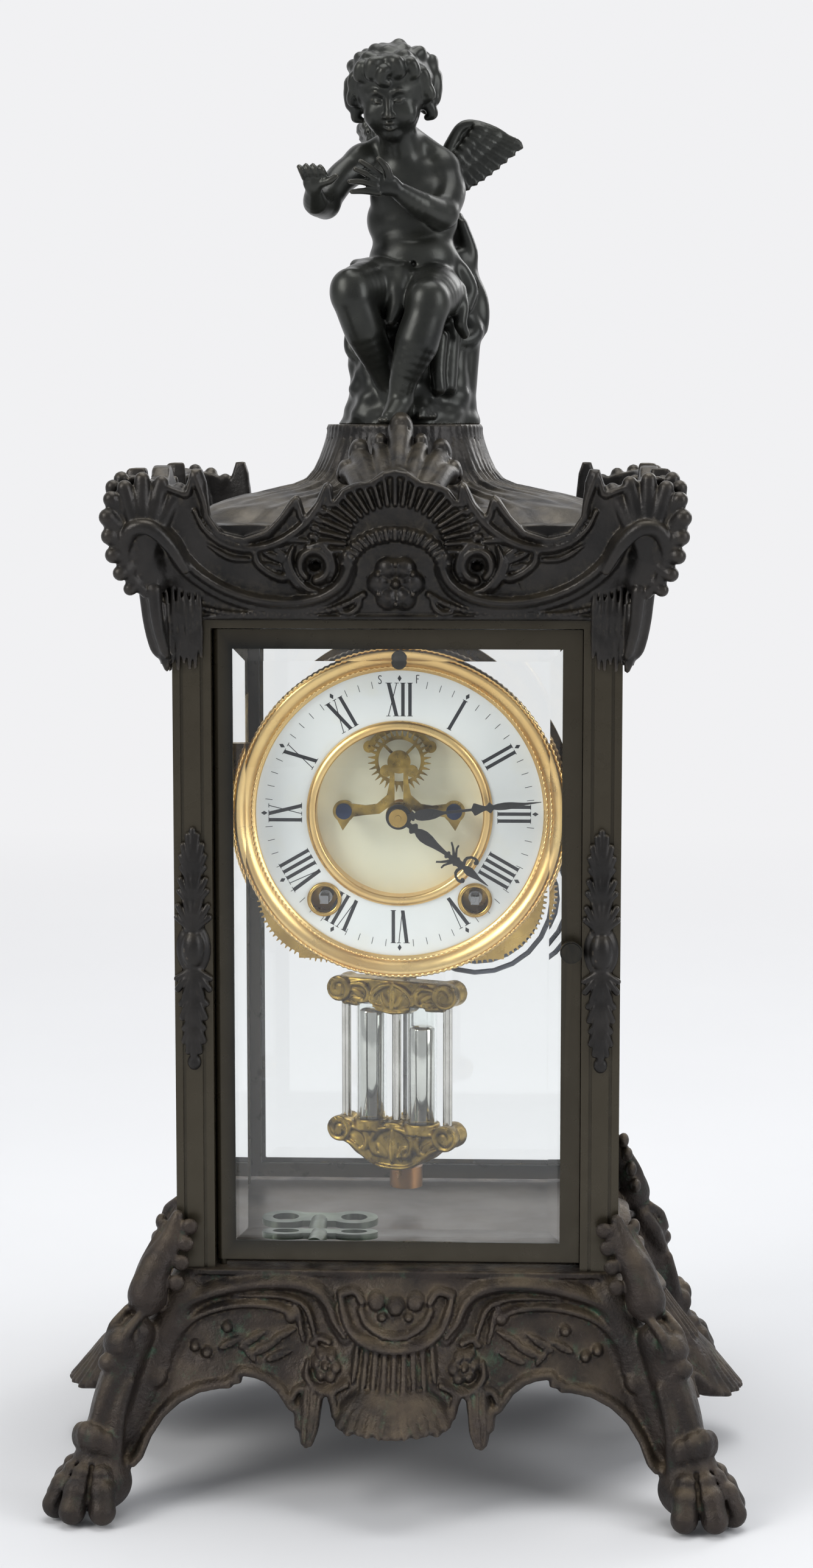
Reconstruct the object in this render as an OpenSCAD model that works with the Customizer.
// Four-glass table clock: cast base, roof and figure, brass case, visible escapement,
// eight-day going and striking movement, coil gong and two-vial pendulum.
// The origin is under the centre of the base, +Z up, and the dial faces -Y.

/* [Case] */
// Width over the outer faces of the pillars
case_w = 160; // [152:1:172]
// Depth over the outer faces of the pillars
case_d = 138; // [132:1:150]
// Height of the base casting, up to the pillars' feet
base_h = 84; // [80:1:96]
// Height of the pillars
pillar_h = 233; // [228:1:250]
// Side of a square pillar
pillar_s = 13.8; // [12.5:0.1:15]
// Depth of the reeds in the pillar faces
reed_depth = 0.8; // [0.4:0.1:1.2]
// Thickness of the floor plate
floor_t = 1.2; // [0.8:0.1:2]
// Thickness of the brass frame under the roof
top_frame_t = 3; // [2:0.5:5]

/* [Doors and glass] */
// Thickness of a door frame
door_t = 6; // [5:0.5:7]
// Width of a door's stiles and rails
door_stile = 7; // [6:0.5:8]
// Distance of a door's face behind the pillar faces
door_recess = 3.7; // [3:0.1:4.5]
// Space under a door
door_foot_gap = 2.3; // [1:0.1:3]
// Space over a door
door_head_gap = 0.6; // [0.4:0.1:2]
// Thickness of the door glass
door_glass_t = 4; // [3:0.5:4]
// Thickness of the side glass
side_glass_t = 3; // [2.5:0.5:4]
// Width of the bevel round each glass
bevel_w = 5.7; // [3:0.1:8]
// Diameter of a door knob
knob_d = 8; // [6:0.5:10]
// Height of the door knobs over the base casting
knob_up = 117.6; // [66:1:176]

/* [Dial] */
// Height of the dial's centre over the base casting
dial_up = 164; // [156:1:168]
// Distance of the chapter ring's face behind the pillars' front faces
dial_setback = 24; // [23.8:0.1:26]
// Radius of the bezel's rim
bezel_r = 60; // [60:0.5:61]
// Outer radius of the porcelain chapter ring
ring_r = 52.7; // [51:0.1:54]
// Outer radius of the inner brass ring
inner_ring_r = 34; // [33:0.5:36]
// Radius of the recessed dial centre
centre_r = 31; // [30:0.5:31.5]
// Depth of the recess behind the chapter ring's face
recess = 7; // [5:0.5:8]
// Length of the minute hand
minute_len = 52; // [44:1:53]
// Length of the hour hand
hour_len = 41; // [34:1:44]
// Angle of the minute hand, clockwise from twelve
minute_angle = 83.4; // [0:0.1:360]
// Angle of the hour hand, clockwise from twelve
hour_angle = 127.6; // [0:0.1:360]
// Sideways distance of a winding hole from the dial's centre
wind_x = 27.5; // [27.2:0.1:28]
// Distance of a winding hole under the dial's centre
wind_drop = 31.7; // [31:0.1:33]

/* [Movement] */
// Space between the plates
plate_gap = 33.4; // [33.4:0.2:36]
// Thickness of a plate
plate_t = 1.8; // [1.5:0.1:2.2]
// Half width of the plates
plate_half_w = 38; // [37:1:42]
// Teeth of a great wheel
great_teeth = 80; // [72:4:80]
// Teeth of the second wheel and of the strike wheel
second_teeth = 60; // [56:4:60]
// Teeth of the centre wheel
centre_teeth = 90; // [84:2:96]
// Teeth of the third wheel
third_teeth = 100; // [92:4:100]
// Leaves of every train pinion
leaves = 8; // [8:4:12]
// Teeth of the escape wheel
escape_teeth = 32; // [30:2:36]
// Radius of the escape wheel
escape_r = 11.5; // [11:0.1:11.6]
// Height of the escape wheel over the dial's centre
escape_up = 19.5; // [19:0.1:20]
// Height of the pendulum's and the anchor's axis over the dial's centre
swing_up = 51; // [50:0.5:52]
// Running clearance round every arbor
run_gap = 0.05; // [0.02:0.01:0.1]

/* [Gong] */
// Diameter of the gong wire
gong_wire = 2; // [1.6:0.1:2.2]
// Loops of the gong
gong_loops = 5; // [4:1:5]
// Radius of the innermost loop
gong_r0 = 8.7; // [8.5:0.1:9.5]
// Spacing of the loops
gong_pitch = 4.3; // [3.8:0.1:4.5]
// Sideways place of the gong's centre
gong_x = 26; // [24:1:27]
// Height of the gong's centre over the base casting
gong_up = 120; // [116:1:122]

/* [Pendulum] */
// Turn of the hanging pendulum about the vertical
pendulum_twist = 23; // [0:1:30]
// Half width of a pendulum frame
frame_half_w = 27.3; // [26:0.1:29]
// Depth of a pendulum frame
frame_d = 12; // [12:0.5:14]
// Height of the top frame's upper edge over the base casting
frame_top_up = 94; // [90:1:98]
// Height of the bottom frame's lower edge over the base casting
frame_low_up = 19; // [18:1:22]
// Diameter of a vial
vial_d = 11.5; // [10:0.1:12]
// Diameter of a column
column_d = 3.6; // [3:0.1:4]
// Diameter of the rating nut
nut_d = 12.7; // [11:0.1:14]

/* [Base and roof] */
// Outward flare of the base from its top to the floor
base_flare = 38; // [32:1:42]
// Wall of the castings
cast_wall = 5; // [4:0.5:6]
// Lowest edge of the front and rear shells
front_drop_z = 36; // [30:1:44]
// Lowest edge of the side shells
side_drop_z = 21; // [18:1:30]
// Forward swell of the front and rear shells
front_swell = 45; // [20:1:50]
// Sideways swell of the side shells
side_swell = 30; // [15:1:34]
// Height of the arches between the feet
arch_z = 54; // [48:1:58]
// Height of the roof from its frame to its top
roof_h = 68.7; // [64:0.1:74]
// Reach of the corner shells beyond the pillars
corner_reach = 22; // [16:1:26]
// Height of the figure on the roof
figure_h = 141.8; // [120:1:160]

/* [Hidden] */
$fn = 48;

// Small clearance between pieces of one body
fit = 0.1;
// Clearance between pieces that pass each other
pass = 0.3;
half_w = case_w / 2;
half_d = case_d / 2;
pillar_top = base_h + pillar_h;
roof_z = pillar_top + top_frame_t;
roof_top = roof_z + roof_h;
floor_z = base_h + floor_t;
knob_z = base_h + knob_up;
dial_z = base_h + dial_up;
gong_z = base_h + gong_up;
frame_top_z = base_h + frame_top_up;
frame_low_z = base_h + frame_low_up;

door_side_gap = 0.3;
door_w = case_w - 2 * pillar_s - 2 * door_side_gap;
door_z0 = base_h + door_foot_gap;
door_h = pillar_h - door_foot_gap - door_head_gap;
door_front = -half_d + door_recess;
door_back = door_front + door_t;
hinge_inset = 2.2;
hinge_x = -door_w / 2 + hinge_inset;
hinge_y = door_front + hinge_inset;
hinge_r = 1.2;
hinge_pin_len = 5;
glass_lip = 1.2;
rebate = 1.5;
glass_fit = 0.2;
bevel_drop = 1.2;
knob_x = door_w / 2 - door_stile / 2;
knob_shaft_r = 1.4;
stop_w = 1.6;
stop_y = door_back + 1;
latch_y = -half_d + pillar_s + pass;
latch_t = 1.2;
latch_len = 6.6;

// Depths of the dial's layers, all along -Y from the case's middle
ring_face = -half_d + dial_setback;
ring_t = 1.2;
pan_t = 0.8;
bezel_face = ring_face - 4.5;
bezel_back = ring_face + 2.2;
inner_ring_face = ring_face - 1.5;
centre_face = ring_face + recess;
centre_t = 1.2;
plate_face = ring_face + 14;
back_face = plate_face + plate_t + plate_gap;
plates_back = back_face + plate_t;
plate_low = dial_z - 56;
plate_shoulder = dial_z + 36;
plate_high = dial_z + 60;
tongue_half_w = 13;
bridge_t = 1.3;
bridge_back = ring_face - 4.2;
wheel_face = ring_face - 0.6;
wheel_t = 1.2;
anchor_back = ring_face + 3.5;
anchor_t = 1;
hour_hand_back = ring_face - 9.4;
minute_hand_back = ring_face - 11.6;
hand_t = 0.9;
nut_back = minute_hand_back - hand_t;
nut_front = nut_back - 1.4;

// Wheels
great_mod = 0.65;
second_mod = 0.5;
centre_mod = 0.34;
third_mod = 0.27;
motion_mod = 0.4;
cannon_teeth = 12;
minute_wheel_teeth = 36;
minute_pinion_teeth = 10;
hour_teeth = 40;
arbor_r = 0.6;
wheel_thick = 1.4;
great_thick = 2.2;
great_back = plate_face + plate_t + 3.2;
barrel_r = 20;
barrel_len = 18;
centre_back = great_back + 7.4;
third_back = great_back + 15;
second_back = great_back + barrel_len + 2.8;
strike_back = second_back + 3.2;
winding_r = 2.5;
centre_arbor_r = 1.1;

function pitch_r(teeth, mod) = teeth * mod / 2;
// Third corner of a triangle whose sides from a and b are ra and rb long, to one side
function corner(a, b, ra, rb, side) =
    let (d = norm(b - a), u = (b - a) / d,
         along = (ra * ra - rb * rb + d * d) / (2 * d),
         out = sqrt(ra * ra - along * along))
    a + u * along + side * out * [u[1], -u[0]];
centre_at = [0, dial_z];
great_at = [wind_x, dial_z - wind_drop];
strike_great_at = [-wind_x, dial_z - wind_drop];
escape_at = [0, dial_z + escape_up];
swing_z = dial_z + swing_up;
second_at = corner(centre_at, great_at,
    pitch_r(second_teeth + leaves, second_mod), pitch_r(great_teeth + leaves, great_mod), -1);
strike_at = [-second_at[0], second_at[1]];
third_at = corner(centre_at, escape_at,
    pitch_r(centre_teeth + leaves, centre_mod), pitch_r(third_teeth + leaves, third_mod), -1);
fly_at = strike_at + pitch_r(second_teeth + leaves, second_mod) * [-cos(20), sin(20)];
minute_wheel_at = centre_at
    + pitch_r(cannon_teeth + minute_wheel_teeth, motion_mod) * [cos(200), sin(200)];
hour_mod = motion_mod * (cannon_teeth + minute_wheel_teeth) / (minute_pinion_teeth + hour_teeth);
hammer_at = [-33, dial_z + 12];
hammer_r = 1;
pendulum_y = plates_back + 8;
gong_y = plates_back + 30;

// Moves a flat shape to the depth y and place at, thickened towards the viewer
module facing(y, at = [0, 0], t = 1) {
    translate([at[0], y, at[1]]) rotate([90, 0, 0]) linear_extrude(t) children();
}
// A round bar along Y from y0 to y1
module bar(at, r, y0, y1) {
    translate([at[0], max(y0, y1), at[1]]) rotate([90, 0, 0]) cylinder(r = r, h = abs(y1 - y0));
}
// The same piece at the four corners
module four_corners() {
    for (sx = [0, 1], sy = [0, 1]) mirror([sx, 0, 0]) mirror([0, sy, 0]) children();
}

function tooth_points(teeth, mod, add, ded, wide) = [for (i = [0:teeth - 1])
    for (p = [[-0.5 + wide * 0.62, -ded], [-wide * 0.95, -ded], [-wide * 0.3, add],
              [wide * 0.3, add], [wide * 0.95, -ded]])
    let (a = (i + p[0]) * 360 / teeth, r = pitch_r(teeth, mod) + p[1] * mod)
    [r * cos(a), r * sin(a)]];
// A wheel's toothed outline, one tooth along +X, turned by turn
module gear(teeth, mod, turn = 0, add = 0.75, ded = 1.15, wide = 0.24) {
    rotate(turn) polygon(tooth_points(teeth, mod, add, ded, wide));
}
// The openings between a wheel's arms
module crossings(r_in, r_out, arms, arm_w, turn = 0) {
    difference() {
        circle(r_out);
        circle(r_in);
        for (i = [0:arms - 1]) rotate(turn + i * 360 / arms) translate([0, -arm_w / 2])
            square([r_out + 1, arm_w]);
    }
}
// A crossed-out train wheel with its collet hole left to the arbor
module train_wheel(teeth, mod, turn) {
    difference() {
        gear(teeth, mod, turn);
        crossings(3.2, pitch_r(teeth, mod) - 2.6, 4, 1.6, turn);
    }
}
function angle_to(a, b) = atan2(b[1] - a[1], b[0] - a[0]);
// Turn that puts a gap between two teeth along the direction dir
function gap_turn(teeth, dir) = dir + 180 / teeth;

function sq(x) = x * x;
// A ring of points round a rounded rectangle, seen from above
function ring_dir(i, n) = [cos(360 * i / n), sin(360 * i / n)];
function round_r(d, hx, hy, p) = 1 / pow(pow(abs(d[0]) / hx, p) + pow(abs(d[1]) / hy, p), 1 / p);
// Joins rings of equal length into a closed wall that returns to its first ring
module ring_wall(rings) {
    n = len(rings[0]);
    m = len(rings);
    faces = [for (k = [0:m - 1]) for (i = [0:n - 1])
        let (a = k * n + i, b = k * n + (i + 1) % n,
             c = ((k + 1) % m) * n + (i + 1) % n, d = ((k + 1) % m) * n + i)
        each [[a, b, c], [a, c, d]]];
    polyhedron([for (r = rings) each r], faces);
}
// Joins rings of equal length, from the top down, into a solid with a flat first and last ring
module ring_solid(rings) {
    n = len(rings[0]);
    m = len(rings);
    faces = concat(
        [for (k = [0:m - 2]) for (i = [0:n - 1])
            let (a = k * n + i, b = k * n + (i + 1) % n,
                 c = (k + 1) * n + (i + 1) % n, d = (k + 1) * n + i)
            each [[a, b, c], [a, c, d]]],
        [[for (i = [0:n - 1]) n - 1 - i]],
        [[for (i = [0:n - 1]) (m - 1) * n + i]]);
    polyhedron([for (r = rings) each r], faces);
}
// A limb of a casting, from a ball at p to a ball at q
module limb(p, q, rp, rq, n = 12) {
    hull() {
        translate(p) sphere(rp, $fn = n);
        translate(q) sphere(rq, $fn = n);
    }
}

// Distance along a side from its middle, as a share of the way to the corner
function side_place(d, hx, hy) = abs(d[0]) / hx > abs(d[1]) / hy
    ? [abs(d[1] / d[0]) * hx / hy, 1] : [abs(d[0] / d[1]) * hy / hx, 0];
function ease(t) = t <= 0 ? 0 : t >= 1 ? 1 : (1 - cos(180 * t)) / 2;
// The base's lower edge: a shell drop at the middle, an arch, then the foot
drop_end = 0.3;
arch_top_at = 0.62;
foot_at = 0.93;
function edge_z(s, low) =
    s < drop_end ? low + 4 * sq(s / drop_end)
    : s < arch_top_at ? low + 4 + (arch_z - low - 4) * ease((s - drop_end) / (arch_top_at - drop_end))
    : s < foot_at ? 8 + (arch_z - 8) * sqrt(1 - 0.98 * sq((s - arch_top_at) / (foot_at - arch_top_at)))
    : 4;
function base_point(i, n, t, inset) =
    let (d = ring_dir(i, n), w = side_place(d, half_w, half_d),
         low = edge_z(w[0], w[1] == 1 ? side_drop_z : front_drop_z),
         z = base_h - (base_h - low) * t, down = (base_h - z) / base_h,
         swell = (w[1] == 1 ? side_swell : front_swell) * down * ease(1 - w[0] / 0.36),
         out = 2 + base_flare * pow(down, 1.3) + swell - inset,
         r = round_r(d, half_w + out, half_d + out, 10))
    [d[0] * r, d[1] * r, z];
base_ring_n = 96;
foot_x = half_w + 29;
foot_y = half_d + 28;
sole_w = 15;

module base_casting() color([0.20, 0.18, 0.16]) difference() {
    union() {
        ring_wall(concat(
            [for (t = [0, 0.25, 0.5, 0.75, 1]) [for (i = [0:base_ring_n - 1])
                base_point(i, base_ring_n, t, 0)]],
            [for (t = [1, 0.66, 0.33, 0]) [for (i = [0:base_ring_n - 1])
                base_point(i, base_ring_n, t, cast_wall)]]));
        // Deck under the pillars and the floor plate
        translate([0, 0, base_h - cast_wall]) linear_extrude(cast_wall) difference() {
            square([case_w, case_d], center = true);
            square([case_w - 50, case_d - 50], center = true);
        }
        four_corners() {
            // Leg, from the deck's corner out to the paw
            limb([half_w + 3, half_d + 3, base_h - 22], [foot_x - 5, foot_y - 6, 22], 11, 9);
            limb([foot_x - 5, foot_y - 6, 22], [foot_x, foot_y, 13], 9, 11);
            // Sole, then toes
            translate([foot_x - sole_w / 2, foot_y - sole_w / 2, 0]) cube([sole_w, sole_w, 8]);
            for (turn = [8, 45, 82]) translate([foot_x - 3, foot_y - 3, 0]) rotate(turn)
                limb([4, 0, 11], [15.5, 0, 6.5], 7.5, 6.5, 10);
            // Leaf that climbs the pillar's foot
            limb([half_w + 5, half_d + 5, base_h - 18], [half_w + 1.5, half_d + 2, base_h + 12], 9, 4);
            limb([half_w + 1.5, half_d + 2, base_h + 12], [half_w + 2, half_d + 2.4, base_h + 21], 3.6, 2);
        }
    }
    // Room for the pillars and for what stands between them
    translate([-half_w - pass, -half_d - pass, base_h]) cube([case_w + 2 * pass, case_d + 2 * pass, pillar_h]);
    // The feet stand flat
    translate([-2 * case_w, -2 * case_w, -2 * base_h]) cube([4 * case_w, 4 * case_w, 2 * base_h]);
    four_corners() translate([screw_x, screw_y, 0]) {
        cylinder(r = screw_r + fit, h = base_h + 1, $fn = 24);
        cylinder(r = screw_head_r + pass, h = base_h - cast_wall, $fn = 24);
    }
    for (a = [0, 180]) rotate(a) translate([hinge_x, hinge_y, base_h - cast_wall - 1])
        cylinder(r = hinge_r + 2 * fit, h = cast_wall + 2, $fn = 24);
}

floor_half_w = half_w - pillar_s - stop_w - pass;
floor_half_d = half_d - pillar_s + 3;
module floor_plate() color([0.45, 0.42, 0.38]) difference() {
    translate([-floor_half_w, -floor_half_d, base_h]) cube([2 * floor_half_w, 2 * floor_half_d, floor_t]);
}

screw_x = half_w - pillar_s / 2;
screw_y = half_d - pillar_s / 2;
screw_r = 2;
screw_len = 22;
screw_head_r = 3.6;
screw_head_t = 2.2;

// One pillar's section, at the corner with +X and +Y
module pillar_section() {
    groove_x = half_w - pillar_s + 3.7;
    groove_w = side_glass_t + 2 * glass_fit;
    in_x = half_w - pillar_s;
    in_y = half_d - pillar_s;
    reed_w = 1.2;
    difference() {
        union() {
            translate([in_x, in_y]) square(pillar_s);
            translate([in_x - stop_w, in_y]) square([stop_w + 1, -stop_y - in_y]);
        }
        translate([groove_x, in_y - 1]) square([groove_w, 1 + rebate + glass_fit]);
        for (k = [0.2, 0.72]) {
            translate([half_w - reed_depth, in_y + k * pillar_s]) square([reed_depth + 1, reed_w]);
            translate([in_x + k * pillar_s, half_d - reed_depth]) square([reed_w, reed_depth + 1]);
        }
    }
}
module case_pillars() color([0.19, 0.19, 0.17]) four_corners() difference() {
    translate([0, 0, base_h]) linear_extrude(pillar_h) pillar_section();
    for (z = [base_h - 1, pillar_top - screw_len + 4]) translate([screw_x, screw_y, z])
        cylinder(r = screw_r + fit, h = screw_len - 3);
}

mount_h = 89;
module pillar_mounts() color([0.17, 0.16, 0.15]) difference() {
    for (sx = [-1, 1], sy = [-1, 1]) translate([sx * screw_x, sy * half_d, knob_z]) {
        limb([0, sy * 0.2, -mount_h / 2 + 2], [0, sy * 0.2, 0], 1.6, 4.5, 10);
        limb([0, sy * 0.2, mount_h / 2 - 2], [0, sy * 0.2, 0], 1.6, 4.5, 10);
        translate([0, sy * 1.6, 0]) scale([1, 0.5, 1.65]) sphere(4.7, $fn = 20);
    }
    // Flat backs on the pillars' faces
    translate([-case_w, -half_d, base_h]) cube([2 * case_w, case_d, pillar_h]);
}

module top_frame() color([0.19, 0.19, 0.17]) difference() {
    translate([-half_w, -half_d, pillar_top]) cube([case_w, case_d, top_frame_t]);
    translate([-half_w + 22, -half_d + 20, pillar_top - 1]) cube([case_w - 44, case_d - 40, top_frame_t + 2]);
    four_corners() translate([screw_x, screw_y, pillar_top - 1])
        cylinder(r = screw_r + fit, h = top_frame_t + 2);
    for (a = [0, 180]) rotate(a) translate([hinge_x, hinge_y, pillar_top - 1])
        cylinder(r = hinge_r + fit, h = top_frame_t + 2);
}

// The roof's crest: shell arch at the middle, a dip, a scroll, then the corner shell
crest_mid = roof_z + 55;
crest_dip = roof_z + 32;
crest_end = roof_z + 50;
function crest_z(s) =
    s < 0.2 ? crest_mid
    : s < 0.72 ? crest_mid + (crest_dip - crest_mid) * ease((s - 0.2) / 0.52)
    : crest_dip + (crest_end - crest_dip) * ease((s - 0.72) / 0.2);
function roof_point(i, n, reach, z, p, up) =
    let (d = ring_dir(i, n), w = side_place(d, half_w, half_d),
         far = corner_reach * ease((w[0] - 0.7) / 0.3) * up * (reach[0] > half_w ? 1 : 0),
         r = round_r(d, reach[0] + far * 0.45, reach[1] + far * 0.45, p))
    [d[0] * r, d[1] * r, z + up * (crest_z(w[0]) - crest_mid)];
function roof_ring(reach, z, p, up) =
    [for (i = [0:base_ring_n - 1]) roof_point(i, base_ring_n, reach, z, p, up)];
pedestal_r = 28.5;
module roof_casting() color([0.17, 0.16, 0.15]) difference() {
    union() {
        ring_solid([
            roof_ring([pedestal_r, pedestal_r], roof_top, 2, 0),
            roof_ring([33, 31.5], roof_z + 60, 2.4, 0),
            roof_ring([39.5, 36], roof_z + 53.5, 3, 0),
            roof_ring([57, 48], roof_z + 46, 5, 0),
            roof_ring([half_w - 2, half_d - 2], roof_z + 37, 8, 0.1),
            roof_ring([half_w + 4, half_d + 4], crest_mid - 9, 10, 0.9),
            roof_ring([half_w + 8, half_d + 8], crest_mid, 10, 1),
            roof_ring([half_w + 13, half_d + 13], crest_mid, 10, 1),
            roof_ring([half_w + 13, half_d + 13], crest_mid - 9, 10, 0.9),
            roof_ring([half_w + 9, half_d + 9], roof_z + 16, 12, 0.1),
            roof_ring([half_w + 4, half_d + 4], roof_z + 7, 14, 0),
            roof_ring([half_w + 1, half_d + 1], roof_z, 16, 0)]);
        // Palmettes on the front and the rear, and the fringes under the corner shells
        for (sy = [-1, 1]) {
            limb([0, sy * (half_d + 8), crest_mid - 6], [0, sy * (pedestal_r + 14), roof_top - 2], 9, 5);
            limb([0, sy * (pedestal_r + 14), roof_top - 2], [0, sy * (pedestal_r + 2), roof_top - 6], 5, 5);
        }
        four_corners() {
            limb([half_w + 9, half_d + 9, roof_z + 30], [half_w + 3, half_d + 3, roof_z - 2], 12, 6);
            limb([half_w + 3, half_d + 3, roof_z - 2], [half_w + 1, half_d + 1, roof_z - 16], 6, 2);
        }
    }
    // Hollow inside
    ring_solid([
        roof_ring([22, 22], roof_top - 4, 2, 0),
        roof_ring([30, 28], roof_z + 52, 3, 0),
        roof_ring([52, 43], roof_z + 40, 5, 0),
        roof_ring([half_w - 5, half_d - 5], roof_z + 30, 12, 0),
        roof_ring([half_w - 5, half_d - 5], roof_z - 1, 12, 0)]);
    // Room for the pillars and the frame
    translate([-half_w - pass, -half_d - pass, base_h])
        cube([case_w + 2 * pass, case_d + 2 * pass, roof_z - base_h]);
    translate([0, 0, roof_z]) cylinder(r = stud_r + fit, h = roof_h + 1, $fn = 24);
}

stud_r = 3;
stud_up = 14;
// The figure's own sizes are given for a height of 141.8
figure_k = figure_h / 141.8;
function at_fig(p) = [p[0], p[1], roof_top] + [0, 0, p[2]] * figure_k;
module flesh(p, q, rp, rq, n = 12) {
    limb(at_fig(p), at_fig(q), rp * figure_k, rq * figure_k, n);
}
module figure_cherub() color([0.18, 0.18, 0.16]) difference() {
    union() {
        // Rock and drapery
        hull() {
            translate([0, 0, roof_top]) scale([1, 0.9, 1]) cylinder(r = 25, h = 4, $fn = 24);
            translate(at_fig([3, 5, 34])) scale([1, 0.8, 0.5]) sphere(17, $fn = 16);
        }
        flesh([20, 6, 8], [22, 8, 36], 5, 7);
        flesh([22, 8, 36], [20, 10, 70], 7, 4);
        flesh([-12, 4, 8], [-14, 2, 34], 8, 7);
        // Trunk
        flesh([5, 2, 44], [4, -1, 56], 15, 15.5, 16);
        flesh([4, -1, 56], [1, 0, 82], 15, 14, 16);
        flesh([1, 0, 84], [15, 2, 93], 11, 6);
        flesh([1, 0, 84], [-15, 2, 95], 11, 5.5);
        // Neck, head and hair
        flesh([0, 0, 93], [-1, -4, 106], 7, 8);
        flesh([-1, -9, 113], [-3, -6, 125], 12, 16.8, 18);
        flesh([-12, -5, 118], [-8, -3, 130], 9, 9);
        flesh([8, -3, 114], [4, -3, 130], 8.5, 9);
        // Arms and hands
        flesh([15, 2, 93], [17, -11, 77], 6.5, 6.2);
        flesh([17, -11, 77], [-4, -27, 85], 6, 4);
        flesh([-4, -27, 85], [-17, -32, 85], 4, 2);
        flesh([-15, 2, 95], [-30, -14, 80], 6, 5.5);
        flesh([-30, -14, 80], [-31, -32, 85], 5.4, 3.8);
        flesh([-31, -32, 85], [-37, -35, 90], 4, 1.6);
        // Legs and feet
        flesh([10, -4, 46], [9, -27, 44], 12, 9.5);
        flesh([9, -27, 44], [-1, -26, 10], 8.5, 4.5);
        flesh([-1, -26, 10], [-3, -29, 4.6], 4.5, 4.4);
        flesh([-2, -4, 46], [-18, -26, 48], 12, 9);
        flesh([-18, -26, 48], [-5, -12, 16], 8.5, 5);
        flesh([-5, -12, 16], [5, -18, 5], 4.5, 4);
    }
    translate([-100, -100, roof_top - 100]) cube([200, 200, 100]);
    translate([0, 0, roof_top - 1]) cylinder(r = stud_r + fit, h = stud_up + 2, $fn = 24);
    // Sockets for the wings' roots
    for (sx = [-1, 1]) translate(at_fig([sx * 7, 10, 90])) rotate([-60, 0, 0])
        cylinder(r = wing_peg_r + fit, h = 12, $fn = 20);
    // Seats of the wings' roots
    for (sx = [-1, 1]) hull() {
        translate(at_fig([sx * 7, 16, 94])) sphere(2.6, $fn = 12);
        translate(at_fig([sx * (sx > 0 ? 12 : 8), 17, 94])) sphere(2.8, $fn = 12);
    }
}
wing_peg_r = 1.6;
module figure_wings() color([0.18, 0.18, 0.16]) {
    // The right wing spreads, the left one points back
    wing([12, 17, 94], [[20, 17, 110], [30, 18, 116], [45, 20, 105], [38, 19, 95], [24, 17, 86]]);
    wing([-8, 17, 94], [[-12, 20, 108], [-19, 26, 115], [-24, 36, 110], [-19, 34, 98], [-12, 24, 88]]);
}
module wing(root, tips) {
    sx = sign(root[0]);
    for (k = [0:len(tips) - 2]) hull() {
        translate(at_fig(root)) sphere(2.6, $fn = 10);
        translate(at_fig(tips[k])) sphere(1.5, $fn = 8);
        translate(at_fig(tips[k + 1])) sphere(1.5, $fn = 8);
    }
    hull() {
        translate(at_fig(root)) sphere(2.6, $fn = 10);
        translate(at_fig([sx * 7, 16, 94])) sphere(2.4, $fn = 10);
    }
    translate(at_fig([sx * 7, 10, 90])) rotate([-60, 0, 0]) translate([0, 0, 0.5])
        cylinder(r = wing_peg_r, h = 7, $fn = 20);
}

// A door with its hinges at its left, as it stands in front
module door_frame() difference() {
    z_low = door_z0 + door_stile;
    open_h = door_h - 2 * door_stile;
    open_w = door_w - 2 * door_stile;
    union() {
        translate([hinge_x, door_front, door_z0]) cube([door_w - hinge_inset, door_t, door_h]);
        translate([-door_w / 2, hinge_y, door_z0]) cube([door_w / 2, door_t - hinge_inset, door_h]);
        translate([hinge_x, hinge_y, door_z0]) cylinder(r = hinge_inset, h = door_h);
    }
    translate([-open_w / 2, door_front - 1, z_low]) cube([open_w, door_t + 2, open_h]);
    translate([-open_w / 2 - rebate, door_front + glass_lip, z_low - rebate])
        cube([open_w + 2 * rebate, door_t, open_h + 2 * rebate]);
    for (z = [door_z0 - 1, door_z0 + door_h - hinge_pin_len]) translate([hinge_x, hinge_y, z])
        cylinder(r = hinge_r + run_gap, h = hinge_pin_len + 1);
    bar([knob_x, knob_z], knob_shaft_r + run_gap, door_front - 1, door_back + 1);
}
// A pane with a bevelled front, standing with its front at y = 0
module pane(w, h, t) hull() {
    translate([-w / 2, bevel_drop, -h / 2]) cube([w, t - bevel_drop, h]);
    translate([-w / 2 + bevel_w, 0, -h / 2 + bevel_w]) cube([w - 2 * bevel_w, t, h - 2 * bevel_w]);
}
module door_glass() translate([0, door_front + glass_lip + 0.05, door_z0 + door_h / 2])
    pane(door_w - 2 * door_stile + 2 * rebate - 2 * glass_fit,
        door_h - 2 * door_stile + 2 * rebate - 2 * glass_fit, door_glass_t - 0.6);
module door_knob() {
    knob_back = -half_d - 0.4;
    bar([knob_x, knob_z], knob_shaft_r, knob_back - 1, latch_y);
    bar([knob_x, knob_z], 2.2, knob_back - 1, door_front - 0.1);
    bar([knob_x, knob_z], knob_d / 2 - 0.5, knob_back - 3.8, knob_back);
    bar([knob_x, knob_z], knob_d / 2, knob_back - 3.2, knob_back - 0.6);
    // Latch tongue, upright while the door is free to open
    translate([knob_x - 1.2, latch_y, knob_z]) cube([2.4, latch_t, latch_len]);
    bar([knob_x, knob_z], knob_shaft_r, latch_y, latch_y + latch_t);
}
module front_door_frame() color([0.20, 0.21, 0.18]) door_frame();
module rear_door_frame() color([0.20, 0.21, 0.18]) rotate(180) door_frame();
module front_door_glass() color([0.85, 0.92, 0.90, 0.4]) door_glass();
module rear_door_glass() color([0.85, 0.92, 0.90, 0.4]) rotate(180) door_glass();
module front_door_knob() color([0.22, 0.22, 0.19]) door_knob();
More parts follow.
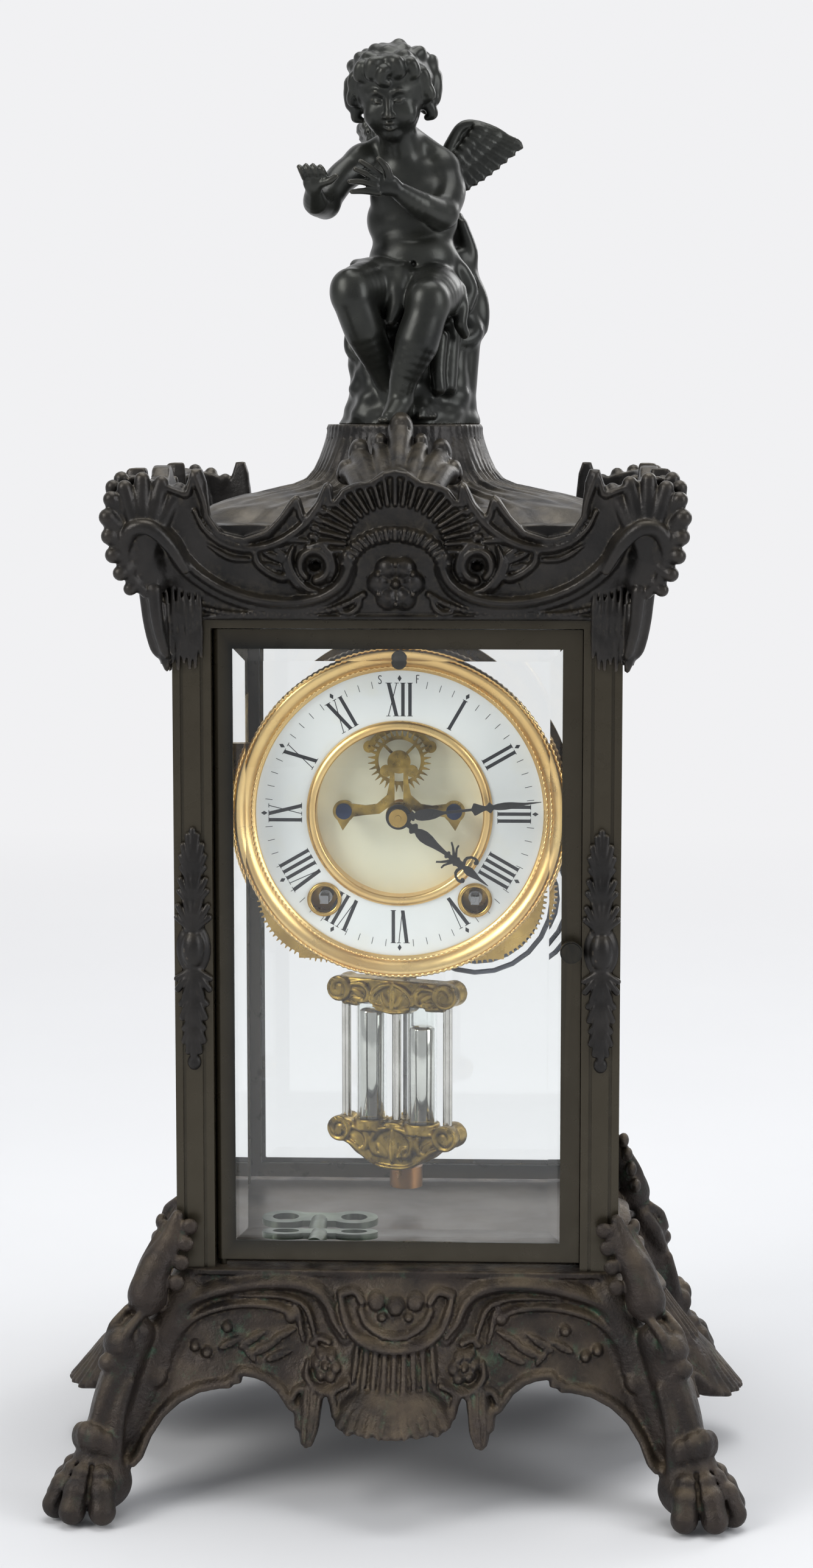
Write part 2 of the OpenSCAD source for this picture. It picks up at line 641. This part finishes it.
module rear_door_knob() color([0.22, 0.22, 0.19]) rotate(180) door_knob();
module hinge_pins() color("gray") for (a = [0, 180]) rotate(a) {
    translate([hinge_x, hinge_y, base_h - cast_wall + 1])
        cylinder(r = hinge_r, h = cast_wall - 1 + door_foot_gap + hinge_pin_len - 0.4);
    translate([hinge_x, hinge_y, door_z0 + door_h - hinge_pin_len + 0.4])
        cylinder(r = hinge_r, h = hinge_pin_len - 0.4 + door_head_gap + top_frame_t);
}
module side_glasses() color([0.85, 0.92, 0.90, 0.4]) for (a = [0, 180]) rotate(a)
    translate([half_w - pillar_s + 3.7 + glass_fit + side_glass_t, 0, base_h + pillar_h / 2]) rotate(90)
        pane(case_d - 2 * pillar_s + 2 * rebate, pillar_h - 2 * glass_fit, side_glass_t);

// Rails along the case's sides, and the ring between them that carries the movement
rail_x = half_w - pillar_s;
rail_t = 2;
rail_h = 34;
rail_z = dial_z + 1;
mount_r = 56;
mount_t = 1.5;
mount_screws = [for (sx = [-1, 1], dz = [-40, 31]) [sx * (plate_half_w - 5), dial_z + dz]];
module movement_mount() color([0.50, 0.42, 0.22]) {
    for (s = [-1, 1]) difference() {
        translate([s > 0 ? rail_x - rail_t : -rail_x, -half_d + pillar_s, rail_z])
            cube([rail_t, case_d - 2 * pillar_s, rail_h]);
        // Room for the bezel's rim in a narrow case
        bar(centre_at, bezel_r + 1, bezel_face - 1, bezel_back + 1);
    }
    difference() {
        union() {
            bar(centre_at, mount_r, plates_back, plates_back + mount_t);
            // Arms that join the ring to the rails
            for (s = [-1, 1]) translate([s > 0 ? mount_r - 8 : -rail_x + 0.5, plates_back, dial_z + 6])
                cube([rail_x - mount_r + 7.5, 5, 14]);
        }
        bar(centre_at, plate_half_w - 6, plates_back - 1, plates_back + mount_t + 1);
        for (p = mount_screws) bar(p, 1.5 + fit, plates_back - 1, plates_back + mount_t + 1);
        bar(hammer_at, 2.5, plates_back - 1, plates_back + mount_t + 1);
        for (p = [great_at, strike_great_at]) bar(p, winding_r + 1, plates_back - 1, plates_back + mount_t + 1);
        bar([gong_x, gong_z], 5, plates_back - 1, plates_back + mount_t + 1);
        translate([-9, plates_back - 1, swing_z - 9]) cube([18, mount_t + 2, 40]);
    }
}

module dial_pan() color([0.72, 0.60, 0.32]) difference() {
    union() {
        facing(ring_face + ring_t + pan_t, centre_at, pan_t) difference() {
            circle(bezel_r - 2.2, $fn = 96);
            circle(centre_r + 0.4, $fn = 96);
        }
        // Feet to the front plate
        for (a = [0, 180]) bar(centre_at + [(inner_ring_r + 1) * cos(a), (inner_ring_r + 1) * sin(a)], 2,
            ring_face + ring_t + pan_t / 2, plate_face);
        for (s = [-1, 1]) bar(centre_at + [s * 9, 46], 2, ring_face + ring_t + pan_t / 2, plate_face);
    }
    for (p = [great_at, strike_great_at]) bar(p, eyelet_r + fit, ring_face, ring_face + 5);
    bar([0, dial_z + 55.7], 2.6, ring_face - 1, ring_face + 5);
}
module dial_ring() color([0.95, 0.96, 0.94]) difference() {
    facing(ring_face + ring_t, centre_at, ring_t) difference() {
        circle(ring_r, $fn = 96);
        circle(centre_r + 0.4, $fn = 96);
    }
    for (p = [great_at, strike_great_at]) bar(p, eyelet_r + fit, ring_face - 1, ring_face + 5);
}
eyelet_r = 5.2;
module winding_eyelets() color([0.75, 0.60, 0.36]) for (p = [great_at, strike_great_at]) difference() {
    union() {
        bar(p, eyelet_r, ring_face - 0.4, ring_face + 3.2);
        bar(p, eyelet_r + 1.1, ring_face - 1.2, ring_face - 0.05);
    }
    bar(p, eyelet_r - 0.5, ring_face - 2, ring_face + 5);
}
module dial_centre() color([0.95, 0.94, 0.82]) facing(centre_face + centre_t, centre_at, centre_t)
    difference() {
        circle(centre_r + 0.2, $fn = 96);
        circle(4.4);
        translate([0, escape_up]) circle(2.4);
        for (s = [-1, 1]) translate([s * bridge_foot[0], bridge_foot[1]]) circle(1.3);
    }
module bezel() color([0.85, 0.68, 0.35]) difference() {
    translate([0, bezel_back, dial_z]) rotate([90, 0, 0]) rotate_extrude($fn = 96) polygon([
        [bezel_r - 1.4, 0], [bezel_r - 1.4, 4.6], [ring_r - 0.4, 2.3], [ring_r - 0.4, 3.4],
        [ring_r + 1.6, 5.2], [bezel_r - 3, 6.7], [bezel_r - 0.8, 6.7], [bezel_r, 5.4], [bezel_r, 0]]);
    bar([0, dial_z + 55.7], 2.5, bezel_back + 1, bezel_face - 5);
}
// Brass ring round the recess, with a notch behind its lip for the wheel and the anchor
module inner_bezel() color([0.72, 0.56, 0.30]) difference() {
    translate([0, centre_face, dial_z]) rotate([90, 0, 0]) rotate_extrude($fn = 96) polygon([
        [centre_r - 0.5, 0], [centre_r - 0.5, recess + 1.2], [centre_r + 1, recess + 1.8],
        [inner_ring_r - 0.8, recess + 1.2], [inner_ring_r, recess + 0.05], [centre_r + 0.2, recess + 0.05],
        [centre_r + 0.2, 0]]);
    translate([-10.5, wheel_face - 0.3, dial_z + 20]) cube([21, centre_face + 2 - wheel_face, 15]);
}

// Outline of a plate: a wide body, and a tongue up to the pendulum's axis
module plate_outline() {
    translate([-plate_half_w, plate_low]) square([2 * plate_half_w, plate_shoulder - plate_low]);
    translate([-tongue_half_w, plate_low]) square([2 * tongue_half_w, plate_high - plate_low]);
}
arbors = [second_at, strike_at, third_at, escape_at, fly_at, [0, swing_z]];
module plate_bores(y0) {
    for (p = arbors) bar(p, arbor_r + run_gap, y0 - 1, y0 + plate_t + 1);
    bar(centre_at, centre_arbor_r + run_gap, y0 - 1, y0 + plate_t + 1);
    bar(hammer_at, hammer_r + run_gap, y0 - 1, y0 + plate_t + 1);
    bar([0, regulator_z], regulator_r + run_gap, y0 - 1, y0 + plate_t + 1);
    for (p = [great_at, strike_great_at]) bar(p, winding_r + run_gap, y0 - 1, y0 + plate_t + 1);
}
pillar_places = concat([[0, plate_low + 6]], [for (sx = [-1, 1]) [sx * (plate_half_w - 3.5), plate_shoulder - 3.5]]);
module front_plate() color([0.78, 0.64, 0.34]) difference() {
    facing(plate_face + plate_t, [0, 0], plate_t) plate_outline();
    plate_bores(plate_face);
    bar(minute_wheel_at, 0.8, plate_face - 1, plate_face + plate_t + 1);
    for (s = [-1, 1]) bar(centre_at + [s * bridge_foot[0], bridge_foot[1]], 1.3,
        plate_face - 1, plate_face + plate_t + 1);
}
module back_plate() color([0.78, 0.64, 0.34]) difference() {
    facing(plates_back, [0, 0], plate_t) plate_outline();
    plate_bores(back_face);
    bar([gong_x, gong_z], 1.6, back_face - 1, plates_back + 1);
}
module plate_pillars() color([0.74, 0.60, 0.32]) for (p = pillar_places) {
    bar(p, 2.6, plate_face + plate_t, back_face);
}

// The bridge that carries the escape wheel's front pivot
bridge_foot = [20, 1.5];
module escapement_bridge() color([0.62, 0.54, 0.34]) difference() {
    union() {
        facing(bridge_back, centre_at, bridge_t) difference() {
            union() {
                circle(4.8);
                for (s = [-1, 1]) {
                    polygon([[s * 3, 3.6], [s * 7, 0.6], [s * 13, 0], [s * 17, -0.6], [s * 17, 4.2],
                        [s * 12, 3.6], [s * 8, 4.2], [s * 4.4, 7.4], [s * 3.4, 12], [s * 3.2, 17],
                        [s * 1.6, 17], [s * 1.6, 3]]);
                    translate([s * bridge_foot[0], bridge_foot[1]]) circle(4);
                    polygon([[s * 17.6, -1.6], [s * 23, -0.6], [s * 20.4, -5.6]]);
                    translate([s * 4.7, escape_up - 3.3]) circle(2.2);
                }
                translate([0, escape_up]) circle(4.2);
            }
            circle(3.7);
            for (s = [-1, 1]) translate([s * bridge_foot[0], bridge_foot[1]]) circle(1.2 + fit);
        }
        // Feet down to the dial's centre
        for (s = [-1, 1]) bar(centre_at + [s * bridge_foot[0], bridge_foot[1]], 2.6, bridge_back, centre_face);
    }
    for (s = [-1, 1]) bar(centre_at + [s * bridge_foot[0], bridge_foot[1]], 1.2 + fit,
        bridge_back - 3, centre_face + 1);
    bar(escape_at, 0.6 + run_gap, bridge_back - bridge_t - 1, bridge_back + 1);
}
module bridge_screws() color([0.20, 0.24, 0.36]) for (s = [-1, 1]) {
    at = centre_at + [s * bridge_foot[0], bridge_foot[1]];
    difference() {
        bar(at, 2.9, bridge_back - bridge_t - 1, bridge_back - bridge_t);
        translate([at[0] - 4, bridge_back - bridge_t - 1.5, at[1] - 0.35]) cube([8, 1, 0.7]);
    }
    bar(at, 1.2, bridge_back - bridge_t, plate_face + plate_t);
}

// Escape wheel with slanting pointed teeth, set so that a pallet pin enters between two of them
module escape_wheel() color([0.62, 0.54, 0.32]) {
    pitch = 360 / escape_teeth;
    facing(wheel_face + wheel_t, escape_at, wheel_t) difference() {
        rotate(90 + pin_angle - 0.55 * pitch) polygon([for (i = [0:escape_teeth - 1])
            for (p = [[-0.34, escape_r - 2.5], [-0.1, escape_r - 1.2], [0.02, escape_r], [0.09, escape_r],
                      [0.2, escape_r - 1.3], [0.28, escape_r - 2.5]])
            [p[1] * cos((i + p[0]) * pitch), p[1] * sin((i + p[0]) * pitch)]]);
        crossings(2.6, escape_r - 3.8, 4, 1, 45);
    }
    bar(escape_at, arbor_r, wheel_face, back_face + plate_t);
    bar(escape_at, 0.6, bridge_back - bridge_t, wheel_face);
    facing(third_back + 0.5, escape_at, wheel_thick + 1)
        gear(leaves, third_mod, gap_turn(leaves, angle_to(escape_at, third_at)));
}

// Pallets: two pins that dip between the wheel's teeth, on one stem with the crutch
pin_out = escape_r + 0.6;
pin_r = 0.5;
pin_angle = acos(pin_out / (swing_z - escape_at[1]));
module pallet_anchor() color([0.60, 0.50, 0.28]) {
    bar([0, swing_z], arbor_r, anchor_back - anchor_t, crutch_y + 1.4);
    facing(anchor_back, [0, 0], anchor_t) {
        translate([0, swing_z]) circle(2.4);
        translate([-1.3, escape_at[1] + 11]) square([2.6, swing_z - escape_at[1] - 11]);
        for (s = [-1, 1]) {
            tip = escape_at + pin_out * [s * sin(pin_angle), cos(pin_angle)];
            translate(tip) circle(2.2);
            polygon([escape_at + [s * 0, 13.5], escape_at + [s * 4, 12.2], escape_at + [s * 9, 9],
                tip + [s * 0.6, 1.4], tip + [-s * 1.2, -0.9], escape_at + [s * 7.5, 7.5],
                escape_at + [s * 3, 10.2], escape_at + [s * 0, 10.8]]);
        }
    }
    for (s = [-1, 1]) bar(escape_at + pin_out * [s * sin(pin_angle), cos(pin_angle)], pin_r,
        wheel_face - 0.6, anchor_back - anchor_t);
    // Crutch behind the back plate, with a fork round the pendulum rod
    facing(crutch_y + 1, [0, 0], 1) {
        translate([0, swing_z]) circle(2);
        translate([-1, swing_z - 44]) square([2, 44]);
        translate([-3, swing_z - 46]) square([6, 2]);
    }
    for (s = [-1, 1]) translate([s * (rod_r + pass + 0.6) - 0.6, crutch_y, swing_z - 46])
        cube([1.2, pendulum_y - crutch_y + 3, 2]);
}
crutch_y = plates_back + 2.6;
rod_r = 1.3;

// Half of a blade's outline along +X, as [place, half width], places as shares of its length
hand_half = [[0.05, 0.9], [0.1, 0.7], [0.15, 1.0], [0.2, 2.2], [0.26, 2.6], [0.32, 1.5], [0.4, 1.0],
    [0.5, 1.2], [0.53, 2.6], [0.58, 2.9], [0.61, 1.3], [0.66, 1.5], [0.69, 3.0], [0.74, 3.0], [0.75, 1.2],
    [0.79, 2.0], [0.87, 0.6], [1, 0.2]];
// A hand with a round boss, turned clockwise from twelve, its back at depth y
module hand(y, turn, length, boss_r, hole_r) {
    translate([0, y, dial_z]) rotate([90, 0, 0]) rotate(90 - turn) difference() {
        union() {
            cylinder(r = boss_r, h = hand_t);
            linear_extrude(hand_t) polygon(concat(
                [for (p = hand_half) [max(p[0] * length, hole_r + 0.3), p[1]]],
                [for (i = [len(hand_half) - 1:-1:0])
                    [max(hand_half[i][0] * length, hole_r + 0.3), -hand_half[i][1]]]));
        }
        translate([0, 0, -1]) cylinder(r = hole_r, h = hand_t + 2);
    }
}
cannon_r = 1.8;
hour_pipe_r = 2.7;
module minute_hand() color([0.06, 0.06, 0.06])
    hand(minute_hand_back, minute_angle, minute_len, 3.6, cannon_r + fit);
module hour_hand() color([0.06, 0.06, 0.06])
    hand(hour_hand_back, hour_angle, hour_len, 4.6, hour_pipe_r + fit);
motion_back = plate_face - 0.5;
module cannon_pinion() color([0.70, 0.58, 0.34]) difference() {
    union() {
        bar(centre_at, cannon_r, nut_back, motion_back);
        facing(motion_back, centre_at, 2) gear(cannon_teeth, motion_mod,
            gap_turn(cannon_teeth, angle_to(centre_at, minute_wheel_at)));
    }
    bar(centre_at, centre_arbor_r + run_gap, nut_front - 5, motion_back + 1);
}
module hour_wheel() color([0.74, 0.60, 0.32]) difference() {
    union() {
        bar(centre_at, hour_pipe_r, hour_hand_back - hand_t, motion_back - 2.4);
        facing(motion_back - 2.4, centre_at, 1.2) gear(hour_teeth, hour_mod,
            gap_turn(hour_teeth, angle_to(centre_at, minute_wheel_at)));
    }
    bar(centre_at, cannon_r + run_gap, nut_front - 5, motion_back + 5);
}
module minute_wheel() color([0.74, 0.60, 0.32]) {
    facing(motion_back - 0.3, minute_wheel_at, 1.2) gear(minute_wheel_teeth, motion_mod,
        angle_to(minute_wheel_at, centre_at));
    facing(motion_back - 1.5, minute_wheel_at, 2.1) gear(minute_pinion_teeth, hour_mod,
        angle_to(minute_wheel_at, centre_at), 0.6, 1.05);
    bar(minute_wheel_at, 0.8 - run_gap, motion_back - 0.3, plate_face + plate_t);
}
module hand_nut() color([0.72, 0.60, 0.34]) difference() {
    bar(centre_at, 3.3, nut_front, nut_back - 0.02);
    bar(centre_at, centre_arbor_r + run_gap, nut_front - 1, nut_back + 1);
}

// A barrel: toothed wheel, drum and cap, hollow for its spring
module barrel(at, mesh_dir) difference() {
    union() {
        facing(great_back, at, great_thick) gear(great_teeth, great_mod, mesh_dir);
        bar(at, barrel_r, great_back, great_back + barrel_len);
    }
    bar(at, barrel_r - 1.2, great_back + 0.8, great_back + barrel_len - 1);
    bar(at, winding_r + run_gap, great_back - great_thick - 1, great_back + barrel_len + 1);
}
module winding_arbor(at) {
    bar(at, winding_r, ring_face + 6, plates_back);
    facing(ring_face + 6, at, 7.5) square(3, center = true);
}
// A spring coiled against the drum's wall, clear of the arbor
module mainspring(at) facing(great_back + barrel_len - 1.4, at, barrel_len - 2.6) difference() {
    circle(barrel_r - 1.3);
    circle(barrel_r - 9);
}
module time_barrel() color([0.76, 0.62, 0.33]) barrel(great_at, angle_to(great_at, second_at));
module strike_barrel() color([0.76, 0.62, 0.33]) barrel(strike_great_at, angle_to(strike_great_at, strike_at));
module time_winding_arbor() color("silver") winding_arbor(great_at);
module strike_winding_arbor() color("silver") winding_arbor(strike_great_at);
module time_mainspring() color([0.25, 0.27, 0.32]) mainspring(great_at);
module strike_mainspring() color([0.25, 0.27, 0.32]) mainspring(strike_great_at);

// An arbor with its wheel and its pinion, each pinion as deep as its wheel and a little more
module wheel_set(at, teeth, mod, wheel_back, wheel_turn, pinion_mod, driver_back, driver_t, pinion_turn) {
    facing(wheel_back, at, wheel_thick) train_wheel(teeth, mod, wheel_turn);
    bar(at, 2.4, wheel_back - wheel_thick - 0.8, wheel_back - wheel_thick);
    facing(driver_back + 0.5, at, driver_t + 1) gear(leaves, pinion_mod, pinion_turn);
    bar(at, arbor_r, plate_face, plates_back);
}
module second_wheel() color([0.76, 0.62, 0.33]) wheel_set(second_at, second_teeth, second_mod,
    second_back, angle_to(second_at, centre_at), great_mod, great_back, great_thick,
    gap_turn(leaves, angle_to(second_at, great_at)));
module strike_wheel() color([0.76, 0.62, 0.33]) wheel_set(strike_at, second_teeth, second_mod,
    strike_back, angle_to(strike_at, fly_at), great_mod, great_back, great_thick,
    gap_turn(leaves, angle_to(strike_at, strike_great_at)));
module centre_wheel() color([0.76, 0.62, 0.33]) {
    facing(centre_back, centre_at, wheel_thick) train_wheel(centre_teeth, centre_mod,
        angle_to(centre_at, third_at));
    facing(second_back + 0.5, centre_at, wheel_thick + 1) gear(leaves, second_mod,
        gap_turn(leaves, angle_to(centre_at, second_at)));
    bar(centre_at, centre_arbor_r, nut_front - 0.6, plates_back);
}
module third_wheel() color([0.76, 0.62, 0.33]) wheel_set(third_at, third_teeth, third_mod,
    third_back, angle_to(third_at, escape_at), centre_mod, centre_back, wheel_thick,
    gap_turn(leaves, angle_to(third_at, centre_at)));
module fly() color([0.70, 0.58, 0.34]) {
    facing(strike_back + 0.5, fly_at, wheel_thick + 1) gear(leaves, second_mod,
        gap_turn(leaves, angle_to(fly_at, strike_at)));
    bar(fly_at, arbor_r, plate_face, plates_back);
    translate([fly_at[0] - 0.4, great_back + 1.5, fly_at[1] - 8]) cube([0.8, 9, 16]);
}

// Gong: a flat spiral of wire, its inner end straight into the block
gong_sides = 6;
gong_steps = 24;
function gong_line() = concat(
    [[gong_r0, -gong_wire], [gong_r0, -gong_wire / 2]],
    [for (i = [0:gong_loops * gong_steps])
        let (a = 360 * i / gong_steps, r = gong_r0 + gong_pitch * i / gong_steps)
        [r * cos(a), r * sin(a)]]);
function unit(v) = v / norm(v);
function gong_side(line, i) = let (t = unit(line[min(i + 1, len(line) - 1)] - line[max(i - 1, 0)]))
    [t[1], -t[0]];
function gong_tube(line) = [for (i = [0:len(line) - 1])
    let (side = i < 2 ? [1, 0] : gong_side(line, i))
    [for (k = [0:gong_sides - 1]) let (a = 360 * k / gong_sides, c = gong_wire / 2 * cos(a))
        [gong_x + line[i][0] + side[0] * c, gong_y + gong_wire / 2 * sin(a),
         gong_z + line[i][1] + side[1] * c]]];
gong_gaps = [for (i = [2:len(gong_line()) - 1 - gong_steps])
    norm(gong_line()[i + gong_steps] - gong_line()[i]) - gong_wire];
echo(gong_least_gap = min(gong_gaps));
module gong_coil() color([0.35, 0.37, 0.42]) ring_solid(gong_tube(gong_line()));
module gong_block() color([0.55, 0.48, 0.32]) {
    hub_r = gong_r0 - gong_wire / 2 - 1.2;
    bar([gong_x, gong_z], hub_r, gong_y - 5, gong_y + 5);
    translate([gong_x, gong_y - 3, gong_z - gong_wire - 3]) cube([gong_r0 + 1.5, 6, 3]);
    bar([gong_x, gong_z], 4, plates_back, gong_y - 5);
    bar([gong_x, gong_z], 1.5, back_face - 2, plates_back);
}

hammer_y0 = gong_y - 2.5;
head_r = 3.5;
gong_outer = gong_r0 + gong_pitch * gong_loops + gong_wire / 2;
// The head rests just over the gong, with its arm at a tangent
head_at = corner(hammer_at, [gong_x, gong_z],
    sqrt(sq(norm([gong_x, gong_z] - hammer_at)) - sq(gong_outer + head_r + 0.6)),
    gong_outer + head_r + 0.6, -1);
module hammer() color([0.68, 0.56, 0.32]) {
    bar(hammer_at, hammer_r, plate_face, gong_y + 2.5);
    bar(hammer_at, 2.2, hammer_y0 - 1, gong_y + 2.5);
    translate([hammer_at[0], gong_y + 0.6, hammer_at[1]]) rotate([0, -angle_to(hammer_at, head_at), 0])
        translate([0, -1.2, -0.8]) cube([norm(head_at - hammer_at), 1.2, 1.6]);
    bar(head_at, head_r, gong_y - 5, gong_y + 5);
}

module suspension_block() color([0.74, 0.60, 0.32]) {
    // Cock on the back plate's tongue, and the spring's clamp
    difference() {
        union() {
            translate([-6, plates_back, swing_z + 2.2]) cube([12, pendulum_y - plates_back + 4, 4.4]);
            translate([-6, plates_back, swing_z - 6]) cube([3.6, 1.6, 10]);
            translate([2.4, plates_back, swing_z - 6]) cube([3.6, 1.6, 10]);
        }
        bar([0, regulator_z], regulator_r + run_gap, plates_back - 1, pendulum_y + 5);
    }
    // Suspension spring
    translate([-2.5, pendulum_y - 0.1, swing_z - 0.8]) cube([5, 0.2, 3]);
}
regulator_z = swing_z + 4.4;
regulator_r = 1.2;
module regulator_arbor() color("silver") {
    bar([0, regulator_z], regulator_r, bezel_back + 3.4, pendulum_y + 3);
    facing(bezel_back + 3.4, [0, regulator_z], 6) square(2, center = true);
}

module pendulum_rod() color([0.45, 0.45, 0.44]) {
    // Hook block on the spring, then the rod down to the nut
    translate([-3, pendulum_y - 1.5, swing_z - 7.5]) cube([6, 3, 6]);
    translate([0, pendulum_y, frame_low_z - 9.5]) cylinder(r = rod_r, h = swing_z - 7 - frame_low_z + 9.5);
}
// Children in the pendulum's own axes, turned as it hangs
module on_pendulum() translate([0, pendulum_y, 0]) rotate(-pendulum_twist) children();
// A frame's bar with a volute at each end, and the boss behind it that the rod runs through
module pendulum_frame(z, h) {
    volute_x = frame_half_w - 5;
    difference() {
        union() {
            translate([-volute_x, row_y - frame_d / 2 + 1, z]) cube([2 * volute_x, frame_d - 2, h]);
            for (s = [-1, 1]) translate([s * volute_x, row_y + frame_d / 2, z + h - 5]) rotate([90, 0, 0])
                cylinder(r = 5, h = frame_d);
            translate([-4, row_y, z]) cube([8, -row_y, h]);
            translate([0, 0, z]) cylinder(r = 4, h = h);
        }
        translate([0, 0, z - 1]) cylinder(r = rod_r + fit, h = h + 2);
    }
}
row_y = -8.5;
frame_h = 14;
low_frame_h = 20;
column_low = frame_low_z + low_frame_h - 4;
column_high = frame_top_z - frame_h + 4;
module pendulum_frames() color([0.56, 0.46, 0.22]) on_pendulum() {
    difference() {
        pendulum_frame(frame_top_z - frame_h, frame_h);
        column_holes(frame_top_z - frame_h - 1, 5);
    }
    difference() {
        pendulum_frame(frame_low_z, low_frame_h);
        column_holes(frame_low_z + low_frame_h - 4, 10);
    }
}
columns_x = 21.5;
vials_x = 10.7;
module column_holes(z, h) {
    for (x = [-columns_x, 0, columns_x]) translate([x, row_y, z]) cylinder(r = column_d / 2 + fit, h = h);
    for (s = [-1, 1]) translate([s * vials_x, row_y, z]) cylinder(r = vial_d / 2 + fit, h = h);
}
module pendulum_columns() color([0.78, 0.78, 0.76]) on_pendulum() for (x = [-columns_x, 0, columns_x])
    translate([x, row_y, column_low]) cylinder(r = column_d / 2, h = column_high - column_low);
module mercury_vials() color([0.88, 0.92, 0.92, 0.4]) on_pendulum() for (s = [-1, 1]) difference() {
    translate([s * vials_x, row_y, column_low]) cylinder(r = vial_d / 2, h = column_high - column_low);
    translate([s * vials_x, row_y, column_low + 1.5])
        cylinder(r = vial_d / 2 - 1, h = column_high - column_low);
}
mercury_h = 36;
module mercury() color([0.70, 0.70, 0.68]) on_pendulum() for (s = [-1, 1])
    translate([s * vials_x, row_y, column_low + 1.5]) cylinder(r = vial_d / 2 - 1.02, h = mercury_h);
module rating_nut() color([0.66, 0.42, 0.26]) difference() {
    translate([0, pendulum_y, frame_low_z - 8.2]) cylinder(r = nut_d / 2, h = 8);
    translate([0, pendulum_y, frame_low_z - 9]) cylinder(r = rod_r + run_gap, h = 10);
}

// Key lying on the floor plate, its socket towards the door
key_r = 3.3;
key_x = -31.5;
key_y = -half_d + 21;
key_len = 24;
bow_w = 44;
module winding_key() color([0.36, 0.42, 0.38]) translate([key_x, key_y, floor_z + key_r + 0.02]) {
    difference() {
        rotate([-90, 0, 0]) cylinder(r = key_r, h = key_len + 4);
        translate([-1.6, -1, -1.6]) cube([3.2, 12, 3.2]);
    }
    translate([0, key_len - 1, -1.2]) linear_extrude(2.4) difference() {
        union() {
            for (s = [-1, 1]) translate([s * (bow_w / 2 - 9), 9]) circle(9);
            translate([-bow_w / 2 + 9, 3]) square([bow_w - 18, 12]);
        }
        for (s = [-1, 1]) translate([s * (bow_w / 2 - 9), 9]) circle(5);
    }
}

module screws_and_nuts() color([0.30, 0.30, 0.30]) {
    // Through the base deck and the top frame into the pillars
    four_corners() {
        translate([screw_x, screw_y, base_h - cast_wall - screw_head_t]) cylinder(r = screw_head_r, h = screw_head_t);
        translate([screw_x, screw_y, base_h - cast_wall]) cylinder(r = screw_r, h = cast_wall + screw_len - 8);
        translate([screw_x, screw_y, pillar_top + top_frame_t - screw_len + 6])
            cylinder(r = screw_r, h = screw_len - 6);
    }
    for (p = mount_screws) bar(p, 1.5, plates_back, plates_back + mount_t + 1.5);
    // Stud and nut that hold the figure
    translate([0, 0, roof_top - 12]) cylinder(r = stud_r, h = 12 + stud_up);
    translate([0, 0, roof_top - 4 - fit - 4]) cylinder(r = 6, h = 4, $fn = 6);
}

base_casting();
floor_plate();
case_pillars();
pillar_mounts();
top_frame();
roof_casting();
screws_and_nuts();
figure_cherub();
figure_wings();
front_door_frame();
front_door_glass();
front_door_knob();
rear_door_frame();
rear_door_glass();
rear_door_knob();
hinge_pins();
side_glasses();
movement_mount();
dial_pan();
dial_ring();
dial_centre();
bezel();
inner_bezel();
winding_eyelets();
front_plate();
back_plate();
plate_pillars();
escapement_bridge();
bridge_screws();
escape_wheel();
pallet_anchor();
minute_hand();
hour_hand();
cannon_pinion();
hour_wheel();
minute_wheel();
hand_nut();
time_barrel();
time_winding_arbor();
second_wheel();
centre_wheel();
third_wheel();
strike_barrel();
strike_winding_arbor();
strike_wheel();
fly();
time_mainspring();
strike_mainspring();
hammer();
gong_block();
gong_coil();
suspension_block();
regulator_arbor();
pendulum_rod();
pendulum_frames();
pendulum_columns();
mercury_vials();
mercury();
rating_nut();
winding_key();
